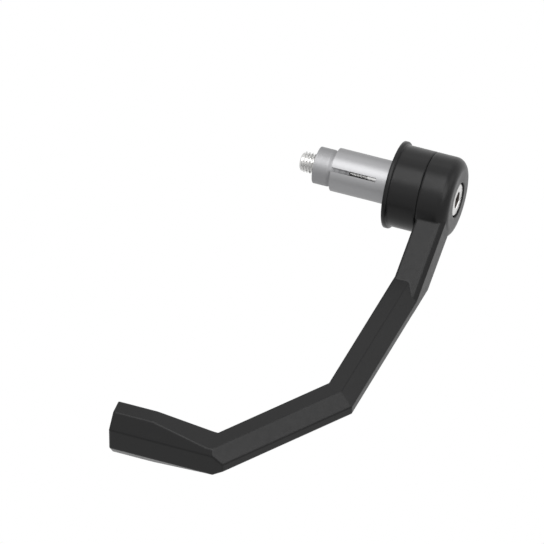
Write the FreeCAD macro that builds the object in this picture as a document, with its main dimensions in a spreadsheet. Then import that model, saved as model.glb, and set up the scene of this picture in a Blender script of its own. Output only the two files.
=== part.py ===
import FreeCAD, Part
import os
import Sketcher

# Lengths are in mm and angles in degrees. The mounting axis is X, with the seat at
# X = 0 and the bolt's head at +X. The arm reaches ahead, which is -Y, and Z is up.
SIZES = {
    "head_diameter": 32.0,
    "head_length": 12.2,
    "head_round": 4.5,
    "counterbore_diameter": 14.0,
    "counterbore_depth": 8.3,
    "bolt_hole": 8.5,
    "spacer_length": 13.2,
    "seam_bevel": 0.35,
    "spacer_lip": 1.1,
    "spacer_lip_width": 1.7,
    "strut_angle": 34.0,
    "strut_height": 12.6,
    "strut_start": 1.6,
    "strut_chamfer": 1.8,
    "strut_round": 1.6,
    "arm_lean": 5.0,
    "arm_thickness": 11.0,
    "arm_height": 13.8,
    "arm_chamfer": 5.05,
    "arm_drop": 18.9,
    "elbow_ahead": 96.0,
    "sweep_angle": 39.0,
    "blade_ahead": 133.6,
    "blade_end": 63.8,
    "blade_height": 20.0,
    "blade_band": 9.9,
    "flare_offset": 1.9,
    "flare_length": 22.2,
    "flare_round": 12.0,
    "edge_round": 0.6,
    "bolt_diameter": 8.0,
    "bolt_length": 55.0,
    "bolt_head_diameter": 13.0,
    "bolt_head_height": 8.0,
    "hex_across_flats": 6.0,
    "hex_depth": 4.0,
    "hex_turn": 19.0,
    "sleeve_diameter": 17.0,
    "sleeve_length": 24.0,
    "sleeve_neck": 14.0,
    "sleeve_seat": 2.0,
    "sleeve_gap": 0.2,
    "slot_width": 1.6,
    "slot_length": 18.0,
    "slot_turn": 45.0,
    "taper_length": 11.0,
    "taper_mouth": 13.6,
    "nut_length": 14.0,
    "nut_thread_gap": 0.05,
}


def make_sheet(doc):
    """Put every driving size in a spreadsheet cell with a name."""
    sheet = doc.addObject("Spreadsheet::Sheet", "Sheet")
    for row, (name, size) in enumerate(SIZES.items(), start=1):
        sheet.set(f"A{row}", name)
        sheet.set(f"B{row}", str(size))
        sheet.setAlias(f"B{row}", name)
    doc.recompute()
    return sheet


def number(item, text):
    """Work out an expression and give it as a plain number."""
    result = item.evalExpression(text)
    return float(getattr(result, "Value", result))


def plane_of(body, role):
    """Find one of a body's own base planes."""
    return [item for item in body.Origin.OriginFeatures if item.Role == role][0]


def bulge(start, end, radius):
    """An arc between two points, of a signed radius: its centre is on the left if positive."""
    chord = end - start
    left = FreeCAD.Vector(-chord.y, chord.x, 0).normalize()
    half = chord.Length / 2
    rise = abs(radius) - (radius * radius - half * half) ** 0.5
    middle = (start + end) / 2 - left * (rise if radius > 0 else -rise)
    return Part.Arc(start, middle, end)


def draw_loop(sketch, corners):
    """Draw one closed outline whose corners are tied to expressions.

    A corner is (x, y), or (x, y, radius) where an arc of that signed radius leads to the next one.
    """
    first = sketch.GeometryCount
    points = [FreeCAD.Vector(number(sketch, corner[0]), number(sketch, corner[1]), 0) for corner in corners]
    count = len(points)
    ends = []
    for i, corner in enumerate(corners):
        after = points[(i + 1) % count]
        if len(corner) == 2:
            sketch.addGeometry(Part.LineSegment(points[i], after))
            ends.append((1, 2))
        else:
            radius = number(sketch, corner[2])
            sketch.addGeometry(bulge(points[i], after, radius))
            ends.append((1, 2) if radius > 0 else (2, 1))
    for i in range(count):
        after = (i + 1) % count
        joint = (first + i, ends[i][1], first + after, ends[after][0])
        sketch.addConstraint(Sketcher.Constraint("Coincident", *joint))
    for i, corner in enumerate(corners):
        where = (first + i, ends[i][0])
        for kind, text, size in (("DistanceX", corner[0], points[i].x), ("DistanceY", corner[1], points[i].y)):
            index = sketch.addConstraint(Sketcher.Constraint(kind, -1, 1, *where, size))
            sketch.setExpression(f"Constraints[{index}]", text)
        if len(corner) == 3:
            radius = f"abs({corner[2]})"
            index = sketch.addConstraint(Sketcher.Constraint("Radius", first + i, number(sketch, radius)))
            sketch.setExpression(f"Constraints[{index}]", radius)


ACROSS = FreeCAD.Vector(1, 0, 0)
UPRIGHT = FreeCAD.Vector(0, 1, 0)


def draw(body, name, role, loops, lift=None, turn=None, about=UPRIGHT):
    """Add a sketch of closed outlines on a base plane, lifted or turned if asked."""
    sketch = body.newObject("Sketcher::SketchObject", name)
    sketch.AttachmentSupport = (plane_of(body, role), "")
    sketch.MapMode = "FlatFace"
    if lift:
        sketch.setExpression("AttachmentOffset.Base.z", lift)
    if turn:
        sketch.AttachmentOffset = FreeCAD.Placement(FreeCAD.Vector(), FreeCAD.Rotation(about, 1))
        sketch.setExpression("AttachmentOffset.Rotation.Angle", turn)
    for corners in loops:
        draw_loop(sketch, corners)
    body.Document.recompute()
    return sketch


def pad(body, name, sketch, length, both_ways=False):
    """Raise a sketch into a solid."""
    item = body.newObject("PartDesign::Pad", name)
    item.Profile = sketch
    item.setExpression("Length", length)
    if both_ways:
        item.SideType = "Symmetric"
    body.Document.recompute()
    return item


def cut_through(body, name, sketch):
    """Cut a sketch right through a body, to both sides of the sketch."""
    item = body.newObject("PartDesign::Pocket", name)
    item.Profile = sketch
    item.Type = "ThroughAll"
    item.SideType = "Symmetric"
    body.Document.recompute()
    return item


def turn_about_axis(body, name, corners):
    """Turn an outline of (X, radius) corners about the mounting axis."""
    sketch = draw(body, name + "_section", "XZ_Plane", [corners])
    item = body.newObject("PartDesign::Revolution", name)
    item.Profile = sketch
    item.ReferenceAxis = (sketch, ["H_Axis"])
    item.Angle = 360
    body.Document.recompute()
    return item


def edges_where(item, test):
    """Name the edges of a feature that pass a test."""
    edges = item.Shape.Edges
    return [f"Edge{i}" for i, edge in enumerate(edges, start=1) if test(edge)]


def dress(body, kind, name, size, test):
    """Round or chamfer the edges of a body's last feature that pass a test."""
    base = body.Tip
    item = body.newObject("PartDesign::" + kind, name)
    item.Base = (base, edges_where(base, test))
    item.setExpression("Radius" if kind == "Fillet" else "Size", size)
    body.Document.recompute()
    return item


def is_ring(edge, x, radius):
    """Is this edge a circle about the mounting axis, at this X and of this radius?"""
    curve = edge.Curve
    return (
        hasattr(curve, "Radius")
        and abs(curve.Center.x - x) < 0.01
        and abs(curve.Radius - radius) < 0.01
    )


def is_outer_corner(edge, shape):
    """Is this edge an outward corner, sharper than a crease, between two faces?"""
    faces = shape.ancestorsOfType(edge, Part.Face)
    middle = edge.valueAt((edge.FirstParameter + edge.LastParameter) / 2)
    normals = [face.normalAt(*face.Surface.parameter(middle)) for face in faces]
    outward = normals[0].dot(faces[1].CenterOfMass - middle) < -0.000001
    return outward and normals[0].dot(normals[1]) < 0.95


# Positions that several parts share, as expressions.
END_X = "(Sheet.spacer_length + Sheet.head_length)"
HEAD_R = "(Sheet.head_diameter / 2)"
SEAM_R = f"({HEAD_R} - Sheet.seam_bevel)"
STRUT_BACK = "(Sheet.counterbore_diameter / 2 + 2)"
SEAT_X = f"({END_X} - Sheet.counterbore_depth)"
MID_Z = "(-Sheet.arm_drop)"
TOP_Z = "(-Sheet.arm_drop + Sheet.arm_height / 2)"
BOTTOM_Z = "(-Sheet.arm_drop - Sheet.arm_height / 2)"
BAND_TOP = f"({TOP_Z} - Sheet.arm_chamfer)"
BAND_BOTTOM = f"({BOTTOM_Z} + Sheet.arm_chamfer)"
BLADE_TOP = "(-Sheet.arm_drop + Sheet.blade_height / 2)"
BLADE_BOTTOM = "(-Sheet.arm_drop - Sheet.blade_height / 2)"
BLADE_FACE = "(Sheet.blade_ahead + Sheet.arm_thickness)"


def outer_x(ahead):
    """X of the straight arm's outer face, at a distance ahead of the mounting axis."""
    return f"({END_X} - tan(Sheet.arm_lean) * (({ahead}) - {STRUT_BACK}))"


def inner_x(ahead):
    """X of the straight arm's inner face, at a distance ahead of the mounting axis."""
    return f"({outer_x(ahead)} - Sheet.arm_thickness / cos(Sheet.arm_lean))"


# The strut's top and bottom, and where each of them meets the level arm.
STRUT_RUN = "(1 / tan(Sheet.strut_angle))"
STRUT_DEEP = "(Sheet.strut_height / cos(Sheet.strut_angle))"


def strut_top_ahead(z):
    """Distance ahead of the mounting axis at which the strut's top is at height z."""
    return f"({HEAD_R} + (Sheet.strut_start - ({z})) * {STRUT_RUN})"


def strut_bottom_ahead(z):
    """Distance ahead of the mounting axis at which the strut's bottom is at height z."""
    return f"({HEAD_R} + (Sheet.strut_start - {STRUT_DEEP} - ({z})) * {STRUT_RUN})"


def strut_top_z(ahead):
    """Height of the strut's top at a distance ahead of the mounting axis."""
    return f"(Sheet.strut_start - (({ahead}) - {HEAD_R}) * tan(Sheet.strut_angle))"


# Corners of the arm seen from above, as (X, distance ahead).
ELBOW_IN = (inner_x("Sheet.elbow_ahead"), "Sheet.elbow_ahead")
HALF_TURN = "((Sheet.sweep_angle - Sheet.arm_lean) / 2)"
MITRE_TURN = "((Sheet.sweep_angle + Sheet.arm_lean) / 2)"
MITRE = f"(Sheet.arm_thickness / cos({HALF_TURN}))"
ELBOW_OUT = (
    f"({ELBOW_IN[0]} + {MITRE} * cos({MITRE_TURN}))",
    f"({ELBOW_IN[1]} + {MITRE} * sin({MITRE_TURN}))",
)
KNEE_IN_X = f"({ELBOW_IN[0]} - (Sheet.blade_ahead - Sheet.elbow_ahead) * tan(Sheet.sweep_angle))"
KNEE_OUT_X = f"({KNEE_IN_X} + Sheet.arm_thickness * tan((90 - Sheet.sweep_angle) / 2))"
FLARE_START = f"({KNEE_IN_X} - Sheet.flare_offset)"
FLARE_END = f"({FLARE_START} - Sheet.flare_length)"
FLARE_SLOPE = "atan((Sheet.blade_height - Sheet.arm_height) / 2 / Sheet.flare_length)"
FLARE_BLEND = f"(Sheet.flare_round * tan({FLARE_SLOPE} / 2))"
ARM_BACK = f"(({strut_top_ahead(TOP_Z)} + {strut_bottom_ahead(BOTTOM_Z)}) / 2)"


def plan(corners):
    """Turn (X, distance ahead) corners into sketch corners seen from above."""
    return [(x, f"(-{ahead})") for x, ahead in corners]


def bevel_loops(face, band_top, band_bottom, both=True):
    """Outlines, in (distance out, Z), of what 45 degree bevels take off a face."""
    reach = "(Sheet.blade_height / 2 + 2)"
    lower = [
        (face, band_bottom),
        (f"({face} + 1)", band_bottom),
        (f"({face} + 1)", f"({band_bottom} - {reach})"),
        (f"({face} - {reach})", f"({band_bottom} - {reach})"),
    ]
    upper = [
        (face, band_top),
        (f"({face} - {reach})", f"({band_top} + {reach})"),
        (f"({face} + 1)", f"({band_top} + {reach})"),
        (f"({face} + 1)", band_top),
    ]
    return [upper, lower] if both else [lower]


def face_out(angle):
    """How far out the elbow's outer corner is, along a face's normal."""
    return f"({ELBOW_OUT[0]} * cos({angle}) + {ELBOW_OUT[1]} * sin({angle}))"


def flare(low, high, side):
    """Corners of the ramp from the blade's height down to the arm's, blended at both ends."""
    run = f"({FLARE_BLEND} * cos({FLARE_SLOPE}))"
    rise = f"({side} * {FLARE_BLEND} * sin({FLARE_SLOPE}))"
    return [
        (f"({FLARE_END} - {FLARE_BLEND})", f"({high} + {side} * 5)"),
        (f"({FLARE_END} - {FLARE_BLEND})", high, f"({-side} * Sheet.flare_round)"),
        (f"({FLARE_END} + {run})", f"({high} - {rise})"),
        (f"({FLARE_START} - {run})", f"({low} + {rise})", f"({side} * Sheet.flare_round)"),
        (f"({FLARE_START} + {FLARE_BLEND})", low),
    ]


def make_arm(doc):
    """Make the level arm with its bend and its taller end."""
    body = doc.addObject("PartDesign::Body", "level_arm")
    outline = plan([
        (inner_x(ARM_BACK), ARM_BACK),
        ELBOW_IN,
        (KNEE_IN_X, "Sheet.blade_ahead"),
        ("(-Sheet.blade_end)", "Sheet.blade_ahead"),
        ("(-Sheet.blade_end)", BLADE_FACE),
        (KNEE_OUT_X, BLADE_FACE),
        ELBOW_OUT,
        (outer_x(ARM_BACK), ARM_BACK),
    ])
    sketch = draw(body, "arm_plan", "XY_Plane", [outline], lift=MID_Z)
    pad(body, "arm_block", sketch, "Sheet.blade_height", both_ways=True)
    right = f"({END_X} + 5)"
    above = [*flare(TOP_Z, BLADE_TOP, 1), (right, TOP_Z), (right, f"({BLADE_TOP} + 5)")]
    below = [*flare(BOTTOM_Z, BLADE_BOTTOM, -1), (right, BOTTOM_Z), (right, f"({BLADE_BOTTOM} - 5)")]
    cut_through(body, "arm_flare", draw(body, "flare_outline", "XZ_Plane", [above, below]))
    for name, angle in (("straight", "Sheet.arm_lean"), ("sweep", "Sheet.sweep_angle")):
        loops = bevel_loops(face_out(angle), BAND_TOP, BAND_BOTTOM)
        sketch = draw(body, name + "_bevel_outline", "XZ_Plane", loops, turn=f"-{angle}")
        cut_through(body, name + "_bevel", sketch)
    half_band = "Sheet.blade_band / 2"
    loops = bevel_loops(BLADE_FACE, f"({MID_Z} + {half_band})", f"({MID_Z} - {half_band})")
    sketch = draw(body, "blade_bevel_outline", "XZ_Plane", loops, turn="-90")
    cut_through(body, "blade_bevel", sketch)
    back = number(body, f"(-{ARM_BACK})")
    shape = body.Tip.Shape

    def is_rounded(edge):
        return edge.CenterOfMass.y < back - 0.01 and is_outer_corner(edge, shape)

    dress(body, "Fillet", "arm_rounding", "Sheet.edge_round", is_rounded)
    return body


def on_outer_slope(edge, nearest_x):
    """Is this edge a sloping one on the strut's outer side?"""
    run = edge.Vertexes[-1].Point - edge.Vertexes[0].Point
    return abs(run.y) > 1 and abs(run.z) > 0.5 and edge.CenterOfMass.x > nearest_x


def slope_of(edge, shape):
    """How far up the two faces beside a sloping edge look, the lower one first; none if it is level."""
    run = edge.Vertexes[-1].Point - edge.Vertexes[0].Point
    if abs(run.y) < 1 or abs(run.z) < 0.5:
        return None
    faces = shape.ancestorsOfType(edge, Part.Face)
    middle = edge.valueAt((edge.FirstParameter + edge.LastParameter) / 2)
    return sorted(face.normalAt(*face.Surface.parameter(middle)).z for face in faces)


def is_top_ridge(edge, shape):
    """Is this edge the one between the strut's top and its chamfer?"""
    up = slope_of(edge, shape)
    return up is not None and up[0] > 0.3


def is_top_side(edge, shape):
    """Is this edge one between the strut's top or chamfer and its sides?"""
    up = slope_of(edge, shape)
    return up is not None and up[1] > 0.3 and abs(up[0]) < 0.3


def make_strut(doc):
    """Make the short strut that slopes down from the head to the level arm."""
    body = doc.addObject("PartDesign::Body", "strut")
    back = STRUT_BACK
    front = strut_top_ahead(BAND_TOP)
    side = [
        (f"(-{back})", strut_top_z(back)),
        (f"(-{front})", BAND_TOP),
        (f"(-{front})", BOTTOM_Z),
        (f"(-{strut_bottom_ahead(BOTTOM_Z)})", BOTTOM_Z),
        (f"(-{back})", f"({strut_top_z(back)} - {STRUT_DEEP})"),
    ]
    sketch = draw(body, "strut_side", "YZ_Plane", [side], lift="(Sheet.spacer_length - 9)")
    pad(body, "strut_block", sketch, "(Sheet.head_length + 10)")
    far = f"({front} + 5)"
    clear = f"({END_X} + 5)"
    outside = plan([(outer_x(0), 0), (outer_x(far), far), (clear, far), (clear, 0)])
    inside = plan([
        (inner_x(back), back),
        ("(Sheet.spacer_length - 20)", back),
        ("(Sheet.spacer_length - 20)", far),
        (inner_x(far), far),
    ])
    sketch = draw(body, "strut_trim_outline", "XY_Plane", [outside, inside])
    cut_through(body, "strut_trim", sketch)
    outer_side = number(body, f"({END_X} - Sheet.head_length / 2)")
    slopes = lambda edge: on_outer_slope(edge, outer_side)
    dress(body, "Chamfer", "strut_edges", "Sheet.strut_chamfer", slopes)
    loops = bevel_loops(face_out("Sheet.arm_lean"), BAND_TOP, BAND_BOTTOM, both=False)
    sketch = draw(body, "strut_bevel_outline", "XZ_Plane", loops, turn="-Sheet.arm_lean")
    cut_through(body, "strut_bevel", sketch)

    sharp = body.Tip.Shape
    dress(body, "Fillet", "strut_ridge", "Sheet.strut_round", lambda edge: is_top_ridge(edge, sharp))
    ridged = body.Tip.Shape
    dress(body, "Fillet", "strut_rounding", "Sheet.edge_round", lambda edge: is_top_side(edge, ridged))
    return body


def make_head(doc):
    """Make the round head, with a counterbore for the bolt."""
    body = doc.addObject("PartDesign::Body", "round_head")
    hole = "(Sheet.bolt_hole / 2)"
    bore = "(Sheet.counterbore_diameter / 2)"
    turn_about_axis(body, "head_turned", [
        ("Sheet.spacer_length", hole),
        ("Sheet.spacer_length", SEAM_R),
        ("(Sheet.spacer_length + Sheet.seam_bevel)", HEAD_R),
        (END_X, HEAD_R),
        (END_X, bore),
        (SEAT_X, bore),
        (SEAT_X, hole),
    ])
    end = number(body, END_X)
    radius = number(body, HEAD_R)
    dress(body, "Fillet", "head_rounding", "Sheet.head_round", lambda edge: is_ring(edge, end, radius))
    return body


def make_spacer(doc):
    """Make the collar between the seat and the head."""
    body = doc.addObject("PartDesign::Body", "bar_end_spacer")
    hole = "(Sheet.bolt_hole / 2)"
    recess = "(Sheet.sleeve_diameter / 2 + Sheet.sleeve_gap)"
    lip = f"({HEAD_R} + Sheet.spacer_lip)"
    turn_about_axis(body, "spacer_turned", [
        ("0", recess),
        ("0", lip),
        ("Sheet.spacer_lip_width", lip),
        ("Sheet.spacer_lip_width", HEAD_R),
        ("(Sheet.spacer_length - Sheet.seam_bevel)", HEAD_R),
        ("Sheet.spacer_length", SEAM_R),
        ("Sheet.spacer_length", hole),
        ("Sheet.sleeve_seat", hole),
        ("Sheet.sleeve_seat", recess),
    ])
    width = number(body, "Sheet.spacer_lip_width")
    radius = number(body, lip)
    size = "(0.6 * min(Sheet.spacer_lip; Sheet.spacer_lip_width))"
    dress(body, "Fillet", "lip_rounding", size, lambda edge: is_ring(edge, width, radius))
    return body


SLEEVE_FAR = "(-Sheet.sleeve_length)"


def make_sleeve(doc):
    """Make the split sleeve that spreads in its bore."""
    body = doc.addObject("PartDesign::Body", "expander_sleeve")
    hole = "(Sheet.bolt_hole / 2)"
    turn_about_axis(body, "sleeve_turned", [
        ("Sheet.sleeve_seat", hole),
        ("Sheet.sleeve_seat", "(Sheet.sleeve_neck / 2)"),
        ("0", "(Sheet.sleeve_neck / 2)"),
        ("0", "(Sheet.sleeve_diameter / 2)"),
        (SLEEVE_FAR, "(Sheet.sleeve_diameter / 2)"),
        (SLEEVE_FAR, "(Sheet.taper_mouth / 2)"),
        (f"({SLEEVE_FAR} + Sheet.taper_length)", hole),
    ])
    half = "(Sheet.slot_width / 2)"
    start = f"({SLEEVE_FAR} - 1)"
    end = f"({SLEEVE_FAR} + Sheet.slot_length)"
    slot = [(start, f"(-{half})"), (end, f"(-{half})"), (end, half), (start, half)]
    for name, turn in (("first", "Sheet.slot_turn"), ("second", "(Sheet.slot_turn + 90)")):
        sketch = draw(body, name + "_slot_outline", "XY_Plane", [slot], turn=turn, about=ACROSS)
        cut_through(body, name + "_slot", sketch)
    return body


def make_nut(doc):
    """Make the cone nut that the bolt draws into the sleeve's taper."""
    body = doc.addObject("PartDesign::Body", "wedge_nut")
    thread = "(Sheet.bolt_diameter / 2 + Sheet.nut_thread_gap)"
    slope = "((Sheet.taper_mouth / 2 - Sheet.bolt_hole / 2) / Sheet.taper_length)"
    small_x = f"({SLEEVE_FAR} + Sheet.taper_length * 0.6)"
    large_x = f"({SLEEVE_FAR} - 2)"
    end_x = f"({small_x} - Sheet.nut_length)"

    def cone(x):
        run = f"({SLEEVE_FAR} + Sheet.taper_length - ({x}))"
        return f"(Sheet.bolt_hole / 2 + {slope} * {run} - Sheet.nut_thread_gap)"

    turn_about_axis(body, "nut_turned", [
        (small_x, thread),
        (small_x, cone(small_x)),
        (large_x, cone(large_x)),
        (end_x, cone(large_x)),
        (end_x, thread),
    ])
    return body


def make_bolt(doc):
    """Make the socket cap screw."""
    body = doc.addObject("PartDesign::Body", "mounting_bolt")
    top = f"({SEAT_X} + Sheet.bolt_head_height)"
    tip = f"({SEAT_X} - Sheet.bolt_length)"
    shank = "(Sheet.bolt_diameter / 2)"
    turn_about_axis(body, "bolt_turned", [
        (top, "0"),
        (top, "(Sheet.bolt_head_diameter / 2)"),
        (SEAT_X, "(Sheet.bolt_head_diameter / 2)"),
        (SEAT_X, shank),
        (f"({tip} + 1)", shank),
        (tip, f"({shank} - 1)"),
        (tip, "0"),
    ])
    end = number(body, top)
    radius = number(body, "(Sheet.bolt_head_diameter / 2)")
    size = "(0.1 * Sheet.bolt_head_height)"
    dress(body, "Fillet", "bolt_rounding", size, lambda edge: is_ring(edge, end, radius))
    corner = "(Sheet.hex_across_flats / 2 / cos(30))"
    angles = [f"(Sheet.hex_turn + {30 + 60 * i})" for i in range(6)]
    hexagon = [(f"(-{corner} * cos({angle}))", f"({corner} * sin({angle}))") for angle in angles]
    pocket = body.newObject("PartDesign::Pocket", "hex_socket")
    pocket.Profile = draw(body, "hex_outline", "YZ_Plane", [hexagon], lift=top)
    pocket.setExpression("Length", "Sheet.hex_depth")
    doc.recompute()
    return body


def make_guard(doc):
    """Join the arm, the strut and the head into one moulded guard."""
    joined = doc.addObject("Part::MultiFuse", "guard_arm")
    joined.Shapes = [make_arm(doc), make_strut(doc), make_head(doc)]
    joined.Refine = True
    doc.recompute()
    return joined


def hand_over(doc, parts):
    """Check every object of the document, then write each part to its own file."""
    bad = [item.Name for item in doc.Objects if "Invalid" in item.State]
    if bad:
        raise RuntimeError("not built: " + ", ".join(bad))
    os.makedirs("parts", exist_ok=True)
    for item in parts:
        if not item.Shape.isValid() or len(item.Shape.Solids) != 1:
            raise RuntimeError("not one sound solid: " + item.Label)
        item.Shape.exportStep(f"parts/{item.Label}.step")


document = FreeCAD.newDocument("lever_guard")
make_sheet(document)
made = [make(document) for make in (make_guard, make_spacer, make_sleeve, make_nut, make_bolt)]
hand_over(document, made)
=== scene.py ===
"""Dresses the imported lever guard: finishes, screw thread, studio light and the photograph's view."""

import math

import bpy
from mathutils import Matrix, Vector


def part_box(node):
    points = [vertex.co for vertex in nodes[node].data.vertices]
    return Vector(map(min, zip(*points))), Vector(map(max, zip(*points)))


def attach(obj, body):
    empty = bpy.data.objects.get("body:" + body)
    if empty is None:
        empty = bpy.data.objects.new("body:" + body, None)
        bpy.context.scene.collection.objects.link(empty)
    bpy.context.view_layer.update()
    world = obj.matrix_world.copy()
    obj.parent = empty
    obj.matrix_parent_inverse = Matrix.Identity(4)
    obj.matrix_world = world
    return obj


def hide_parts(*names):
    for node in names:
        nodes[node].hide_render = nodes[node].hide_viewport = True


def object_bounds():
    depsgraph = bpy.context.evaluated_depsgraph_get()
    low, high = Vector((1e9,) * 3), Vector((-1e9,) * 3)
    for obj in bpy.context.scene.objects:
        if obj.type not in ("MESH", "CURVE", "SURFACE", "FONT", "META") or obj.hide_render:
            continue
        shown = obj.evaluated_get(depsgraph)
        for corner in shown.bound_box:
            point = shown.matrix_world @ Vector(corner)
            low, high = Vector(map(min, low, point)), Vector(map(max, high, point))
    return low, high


MM = 0.001

# The photograph's view: a long lens at this turn and height, in degrees.
VIEW_TURN = 19.5
VIEW_HEIGHT = 46.2
VIEW_WIDTH = 207.6 * MM
VIEW_AIM = Vector((-35.0, -42.4, -18.9)) * MM
LENS = 600.0
SENSOR = 36.0
CLIP_START = 0.1
CLIP_END = 50.0

# The socket cap screw: an M8 with a 6 mm hex socket, drilled a little deeper than the hex.
BOLT_SHANK = 8.0 * MM
BOLT_HEAD_HEIGHT = 8.0 * MM
BOLT_SIDES = 72
HEAD_ROUND = 0.8 * MM
ROUND_STEPS = 5
HEX_FLATS = 6.0 * MM
HEX_DEPTH = 4.0 * MM
HEX_BEVEL = 0.25 * MM
HEX_TURN = 131.0
DRILL_DEPTH = 0.8 * MM
DRILL_RADIUS = 0.2 * HEX_FLATS
SOCKET_REACH = 0.6 * HEX_FLATS
SHARP_ANGLE = 32.0

# The screw's thread. Crest and flank are shares of half a pitch.
THREAD_PITCH = 1.25 * MM
THREAD_DEPTH = 0.72 * MM
THREAD_LENGTH = 28.0 * MM
THREAD_STEPS = 10
CREST = 0.15
FLANK = 0.7
TIP_BEVEL = 1.0 * MM

# The blade's lower bevel: its height, how much steeper than 45 degrees it stands, and where that starts.
BEVEL_HEIGHT = 5.05 * MM
BEVEL_LEAN = 0.38
RIDGE_ROUND = 0.6 * MM
KNEE = -23.5 * MM
KNEE_FADE = 6.0 * MM

# Black plastics: dark and light tone, least and most roughness, and the grain's depth.
NYLON = ((0.0076, 0.0076, 0.0078), (0.0096, 0.0096, 0.0098), 0.28, 0.36, 0.02 * MM)
COLLAR = ((0.0072, 0.0072, 0.0074), (0.0088, 0.0088, 0.009), 0.27, 0.35, 0.015 * MM)
PLASTIC_IOR = 1.276
CLOUD_SCALE = 90.0
GLOSS_SCALE = 420.0
GRAIN_SCALE = 2600.0
NOISE_DETAIL = 4.0
GRAIN_DETAIL = 2.0
NOISE_ROUGHNESS = 0.55

# How far the gloss on a moulded edge runs over it.
SOFT_EDGE = 1.1 * MM
EDGE_SAMPLES = 8

# Turned metals: colour, least and most roughness, and the rings' scale and depth.
STAINLESS = ((0.62, 0.617, 0.61), 0.16, 0.26, 900.0, 0.01 * MM)
# The hex socket's inside: a darker metal colour, painted shade for the socket's recess.
SOCKET_PAINTED_SHADE = ((0.14, 0.125, 0.115), 0.5, 0.65, 900.0, 0.01 * MM)
SLEEVE_ALLOY = ((0.28, 0.28, 0.286), 0.44, 0.56, 700.0, 0.02 * MM)
NUT_ALLOY = ((0.25, 0.25, 0.256), 0.46, 0.60, 600.0, 0.02 * MM)
RING_WOBBLE = 0.6
RING_DETAIL = 2.0

# The part of a texture's values that is spread over a finish's range.
TEXTURE_LOW = 0.25
TEXTURE_HIGH = 0.75

# The floor: how far below the object it lies and how wide it is.
FLOOR_GAP = 0.30
FLOOR_SIZE = 12.0

# How brightly floor and surround light the object. Where they are seen, they are white.
FLOOR_GLOW = 0.45
SKY_GLOW = 0.25
SEEN_GLOW = 1.0
WHITE = (1.0, 1.0, 1.0, 1.0)

# Square soft lights: turn and height in degrees, width in metres and surface brightness.
LIGHT_DISTANCE = 1.6
LIGHTS = {
    "top_box": (0.0, 80.0, 1.25, 3.9),
    "side_box": (65.0, 44.0, 1.0, 3.2),
    "front_box": (-17.0, 42.0, 0.9, 0.45),
    "low_box": (110.0, 25.0, 0.9, 1.05),
    "back_box": (180.0, 48.0, 1.0, 0.7),
    "left_box": (245.0, 24.0, 0.9, 0.45),
}


def share(value):
    """A value held between 0 and 1."""
    return min(1.0, max(0.0, value))


def add_object(name, data):
    """A new object in the scene."""
    thing = bpy.data.objects.new(name, data)
    bpy.context.scene.collection.objects.link(thing)
    return thing


def aim(thing, turn, height, distance):
    """Set an object at a turn and height, as the views count them, and face it to the view's aim."""
    a = math.radians(turn)
    e = math.radians(height)
    away = Vector((math.sin(a) * math.cos(e), -math.cos(a) * math.cos(e), math.sin(e)))
    thing.location = VIEW_AIM + away * distance
    thing.rotation_euler = (-away).to_track_quat("-Z", "Y").to_euler()


def make_camera():
    """Place the camera at the photograph's angle and framing."""
    data = bpy.data.cameras.new("photo_camera")
    data.lens = LENS
    data.sensor_width = SENSOR
    data.clip_start = CLIP_START
    data.clip_end = CLIP_END
    camera = add_object("photo_camera", data)
    aim(camera, VIEW_TURN, VIEW_HEIGHT, VIEW_WIDTH * LENS / SENSOR)
    bpy.context.scene.camera = camera


def empty_tree(owner):
    """Switch on a material's or world's nodes, and clear them."""
    owner.use_nodes = True
    owner.node_tree.nodes.clear()
    return owner.node_tree


def new_material(name):
    """A material with only a shader and an output; gives it with its node tree and shader."""
    material = bpy.data.materials.new(name)
    tree = empty_tree(material)
    output = tree.nodes.new("ShaderNodeOutputMaterial")
    shader = tree.nodes.new("ShaderNodeBsdfPrincipled")
    tree.links.new(shader.outputs["BSDF"], output.inputs["Surface"])
    return material, tree, shader


def noise(tree, scale, detail=NOISE_DETAIL):
    """A noise texture in the object's own space."""
    place = tree.nodes.new("ShaderNodeTexCoord")
    node = tree.nodes.new("ShaderNodeTexNoise")
    node.inputs["Scale"].default_value = scale
    node.inputs["Detail"].default_value = detail
    node.inputs["Roughness"].default_value = NOISE_ROUGHNESS
    tree.links.new(place.outputs["Object"], node.inputs["Vector"])
    return node.outputs["Fac"]


def rings(tree, scale):
    """A texture of rings about the X axis, in the object's own space."""
    place = tree.nodes.new("ShaderNodeTexCoord")
    node = tree.nodes.new("ShaderNodeTexWave")
    node.wave_type = "RINGS"
    node.rings_direction = "X"
    node.inputs["Scale"].default_value = scale
    node.inputs["Distortion"].default_value = RING_WOBBLE
    node.inputs["Detail"].default_value = RING_DETAIL
    tree.links.new(place.outputs["Object"], node.inputs["Vector"])
    return node.outputs["Fac"]


def span(tree, source, low, high):
    """Map a texture's values onto a range."""
    node = tree.nodes.new("ShaderNodeMapRange")
    node.inputs["From Min"].default_value = TEXTURE_LOW
    node.inputs["From Max"].default_value = TEXTURE_HIGH
    node.inputs["To Min"].default_value = low
    node.inputs["To Max"].default_value = high
    tree.links.new(source, node.inputs["Value"])
    return node.outputs["Result"]


def tint(tree, source, dark, light):
    """Map a texture's values onto two colours."""
    node = tree.nodes.new("ShaderNodeMix")
    node.data_type = "RGBA"
    node.inputs["A"].default_value = (*dark, 1.0)
    node.inputs["B"].default_value = (*light, 1.0)
    tree.links.new(source, node.inputs["Factor"])
    return node.outputs["Result"]


def bump(tree, shader, height, depth):
    """Raise the surface by a height texture, by a depth in metres; gives the bump's node."""
    node = tree.nodes.new("ShaderNodeBump")
    node.inputs["Strength"].default_value = 1.0
    node.inputs["Distance"].default_value = depth
    tree.links.new(height, node.inputs["Height"])
    tree.links.new(node.outputs["Normal"], shader.inputs["Normal"])
    return node


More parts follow.
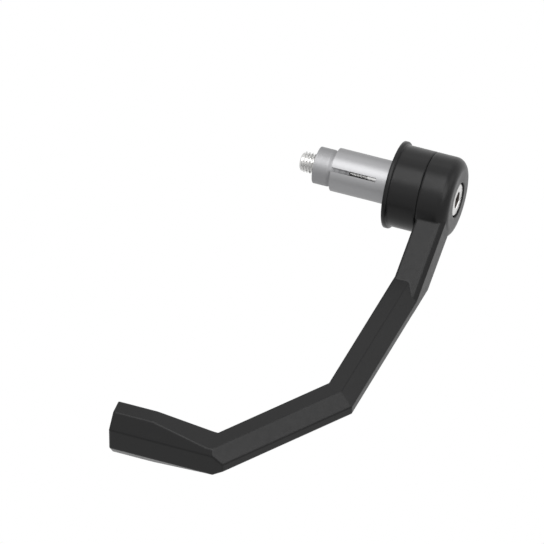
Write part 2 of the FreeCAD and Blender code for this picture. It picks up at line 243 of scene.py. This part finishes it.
def moulded_black(name, finish):
    """Black moulded plastic: cloudy tone, uneven gloss, a fine grain and a soft shine on its edges."""
    dark, light, smooth, rough, grain = finish
    material, tree, shader = new_material(name)
    shader.inputs["IOR"].default_value = PLASTIC_IOR
    tone = tint(tree, noise(tree, CLOUD_SCALE), dark, light)
    gloss = span(tree, noise(tree, GLOSS_SCALE), smooth, rough)
    tree.links.new(tone, shader.inputs["Base Color"])
    tree.links.new(gloss, shader.inputs["Roughness"])
    skin = bump(tree, shader, noise(tree, GRAIN_SCALE, GRAIN_DETAIL), grain)
    edges = tree.nodes.new("ShaderNodeBevel")
    edges.samples = EDGE_SAMPLES
    edges.inputs["Radius"].default_value = SOFT_EDGE
    tree.links.new(edges.outputs["Normal"], skin.inputs["Normal"])
    return material


def turned_metal(name, finish):
    """Turned metal: fine rings about its own axis in the gloss and the surface."""
    colour, smooth, rough, scale, depth = finish
    material, tree, shader = new_material(name)
    shader.inputs["Base Color"].default_value = (*colour, 1.0)
    shader.inputs["Metallic"].default_value = 1.0
    marks = rings(tree, scale)
    tree.links.new(span(tree, marks, smooth, rough), shader.inputs["Roughness"])
    bump(tree, shader, marks, depth)
    return material


def lathe_faces(row_count, count):
    """The faces of a turned mesh: quads between its rows, and a fan to a point at each end."""
    faces = []
    last = (row_count - 1) * count
    first_point = row_count * count
    for j in range(count):
        k = (j + 1) % count
        for start in range(0, last, count):
            faces.append((start + j, start + count + j, start + count + k, start + k))
        faces.append((first_point, j, k))
        faces.append((first_point + 1, last + k, last + j))
    return faces


def lathe(name, rows, angles):
    """A closed mesh turned about X from rows of (x, radius at an angle)."""
    verts = []
    for x, radius_at in rows:
        for angle in angles:
            radius = radius_at(angle)
            verts.append((x, radius * math.cos(angle), radius * math.sin(angle)))
    verts.append((rows[0][0], 0.0, 0.0))
    verts.append((rows[-1][0], 0.0, 0.0))
    mesh = bpy.data.meshes.new(name)
    mesh.from_pydata(verts, [], lathe_faces(len(rows), len(angles)))
    mesh.shade_smooth()
    mesh.set_sharp_from_angle(angle=math.radians(SHARP_ANGLE))
    return add_object(name, mesh)


def plain(radius):
    """A round row: the same radius at every angle."""
    return lambda angle: radius


def hexagon(corner, grow=0.0):
    """A row of the hex socket, with a corner at an angle, grown outwards by an amount."""
    def radius_at(angle):
        off_corner = (angle - corner) % (math.pi / 3)
        return (HEX_FLATS / 2) / math.cos(off_corner - math.pi / 6) + grow
    return radius_at


def head_rows(top, head, corner):
    """The rows of the screw's head, from the bottom of its socket to its seat."""
    seat = top - BOLT_HEAD_HEIGHT
    rows = [
        (top - HEX_DEPTH - DRILL_DEPTH, plain(DRILL_RADIUS)),
        (top - HEX_DEPTH, hexagon(corner)),
        (top - HEX_BEVEL, hexagon(corner)),
        (top, hexagon(corner, grow=HEX_BEVEL)),
    ]
    for step in range(ROUND_STEPS + 1):
        turn = math.pi / 2 * step / ROUND_STEPS
        back = HEAD_ROUND * (1 - math.cos(turn))
        rows.append((top - back, plain(head - HEAD_ROUND * (1 - math.sin(turn)))))
    rows.append((seat, plain(head)))
    rows.append((seat, plain(BOLT_SHANK / 2)))
    return rows


def thread_row(x, tip, start):
    """A row across the screw's thread, which fades in at its start and is cut by the tip's bevel."""
    fade = share((start - x) / THREAD_PITCH)
    bevel = BOLT_SHANK / 2 - TIP_BEVEL + (x - tip)

    def radius_at(angle):
        phase = (x / THREAD_PITCH - angle / (2 * math.pi)) % 1.0
        groove = share((abs(2 * phase - 1) - CREST) / FLANK)
        return min(BOLT_SHANK / 2 - THREAD_DEPTH * groove * fade, bevel)
    return x, radius_at


def shank_rows(tip):
    """The rows of the screw's shank, from the start of its thread to its tip."""
    start = tip + THREAD_LENGTH
    steps = round(THREAD_LENGTH / THREAD_PITCH * THREAD_STEPS)
    rows = [(start, plain(BOLT_SHANK / 2))]
    for i in range(1, steps + 1):
        rows.append(thread_row(start - THREAD_LENGTH * i / steps, tip, start))
    return rows


def make_bolt():
    """The socket cap screw, from its hex socket to its threaded tip."""
    low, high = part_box("mounting_bolt")
    head = (high[1] - low[1]) / 2
    corner = math.radians(HEX_TURN)
    angles = [corner + 2 * math.pi * j / BOLT_SIDES for j in range(BOLT_SIDES)]
    rows = head_rows(high[0], head, corner) + shank_rows(low[0])
    piece = lathe("mounting_bolt_threaded", rows, angles)
    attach(piece, "root")
    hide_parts("mounting_bolt")
    return piece


def lean_at(point):
    """How far the lower bevel leans out at a point: nothing at the knee, all of it along the blade."""
    return BEVEL_LEAN * share((KNEE - point.x) / KNEE_FADE)


def make_arm(source):
    """The arm with its blade's lower bevel stood up steeper, so that it shows from the front."""
    mesh = source.data.copy()
    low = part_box("guard_arm")[0]

    def depth(point):
        return low[2] + BEVEL_HEIGHT - point.z

    def on_bevel(point):
        inwards = point.y - low[1]
        return point.x < KNEE and depth(point) > 0.0 and inwards < depth(point) + RIDGE_ROUND

    normals = [Vector(corner.vector) for corner in mesh.corner_normals]
    for face in mesh.polygons:
        if on_bevel(face.center):
            for corner in face.loop_indices:
                lean = lean_at(mesh.vertices[mesh.loops[corner].vertex_index].co)
                normals[corner].z -= lean * normals[corner].y
                normals[corner].normalize()
    for vert in mesh.vertices:
        if on_bevel(vert.co):
            vert.co.y -= lean_at(vert.co) * depth(vert.co)
    mesh.normals_split_custom_set(normals)
    piece = add_object("guard_arm_bevelled", mesh)
    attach(piece, "root")
    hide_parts("guard_arm")
    return piece


def dress(piece, material):
    """Give a piece its finish and its material slot's name."""
    piece.data.materials.clear()
    piece.data.materials.append(material)


def paint_socket_shade(bolt, material):
    """Paint the inside of the hex socket darker: painted shade in the socket's recess, as a darker metal
    colour than the stainless.
    """
    bolt.data.materials.append(material)
    top = max(vert.co.x for vert in bolt.data.vertices)
    for face in bolt.data.polygons:
        depth = top - face.center.x
        off_axis = math.hypot(face.center.y, face.center.z)
        # Faces inside the socket, below its bevel, get the painted shade.
        if HEX_BEVEL < depth < BOLT_HEAD_HEIGHT and off_axis < SOCKET_REACH:
            face.material_index = 1


def softbox(name, turn, height, size, brightness):
    """A square area light aimed at the object, of a set surface brightness."""
    data = bpy.data.lights.new(name, "AREA")
    data.shape = "SQUARE"
    data.size = size
    data.energy = brightness * math.pi * size * size
    aim(add_object(name, data), turn, height, LIGHT_DISTANCE)


def seen_rays(tree):
    """One for the rays that see the white background: the camera's, mirrored and passed-through ones."""
    rays = tree.nodes.new("ShaderNodeLightPath")
    seen = rays.outputs["Is Camera Ray"]
    for kind in ("Is Glossy Ray", "Is Transmission Ray"):
        either = tree.nodes.new("ShaderNodeMath")
        either.operation = "MAXIMUM"
        tree.links.new(seen, either.inputs[0])
        tree.links.new(rays.outputs[kind], either.inputs[1])
        seen = either.outputs["Value"]
    return seen


def glow(tree, kind, strength):
    """A white light of a strength, as a background or an emission."""
    node = tree.nodes.new(kind)
    node.inputs["Color"].default_value = WHITE
    node.inputs["Strength"].default_value = strength
    return node.outputs[0]


def shade_by_ray(tree, kind, strength, output):
    """White for the rays that see the background, and a plain glow for the others."""
    mix = tree.nodes.new("ShaderNodeMixShader")
    tree.links.new(seen_rays(tree), mix.inputs["Fac"])
    tree.links.new(glow(tree, kind, strength), mix.inputs[1])
    tree.links.new(glow(tree, kind, SEEN_GLOW), mix.inputs[2])
    tree.links.new(mix.outputs["Shader"], output.inputs["Surface"])


def make_world():
    """A plain surround: white where it is seen, and a soft grey light on the object."""
    world = bpy.data.worlds.new("studio")
    bpy.context.scene.world = world
    tree = empty_tree(world)
    output = tree.nodes.new("ShaderNodeOutputWorld")
    shade_by_ray(tree, "ShaderNodeBackground", SKY_GLOW, output)


def floor_material():
    """A plain pale floor: white where it is seen, and a soft light on the object from below."""
    material = bpy.data.materials.new("floor_white")
    tree = empty_tree(material)
    output = tree.nodes.new("ShaderNodeOutputMaterial")
    shade_by_ray(tree, "ShaderNodeEmission", FLOOR_GLOW, output)
    return material


def make_floor(lowest):
    """A square floor below the object."""
    half = FLOOR_SIZE / 2
    level = lowest - FLOOR_GAP
    mesh = bpy.data.meshes.new("floor")
    corners = [(-half, -half, level), (half, -half, level), (half, half, level), (-half, half, level)]
    mesh.from_pydata(corners, [], [(0, 1, 2, 3)])
    floor = add_object("floor", mesh)
    mesh.materials.append(floor_material())


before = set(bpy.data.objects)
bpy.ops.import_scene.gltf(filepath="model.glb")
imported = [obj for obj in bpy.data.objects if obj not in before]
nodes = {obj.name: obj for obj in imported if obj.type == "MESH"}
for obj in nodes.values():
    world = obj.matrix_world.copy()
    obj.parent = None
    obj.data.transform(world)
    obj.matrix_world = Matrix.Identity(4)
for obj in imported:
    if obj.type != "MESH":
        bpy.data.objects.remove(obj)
cad_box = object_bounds()
bpy.context.scene.view_settings.view_transform = "Standard"

make_camera()
dress(make_arm(nodes["guard_arm"]), moulded_black("nylon", NYLON))
dress(nodes["bar_end_spacer"], moulded_black("collar", COLLAR))
bolt = make_bolt()
dress(bolt, turned_metal("stainless", STAINLESS))
# Painted shade: the inside of the hex socket gets a darker metal colour.
paint_socket_shade(bolt, turned_metal("hex_socket_painted_shade", SOCKET_PAINTED_SHADE))
dress(nodes["expander_sleeve"], turned_metal("sleeve_alloy", SLEEVE_ALLOY))
dress(nodes["wedge_nut"], turned_metal("nut_alloy", NUT_ALLOY))

make_world()
make_floor(cad_box[0].z)
for name, light in LIGHTS.items():
    softbox(name, *light)
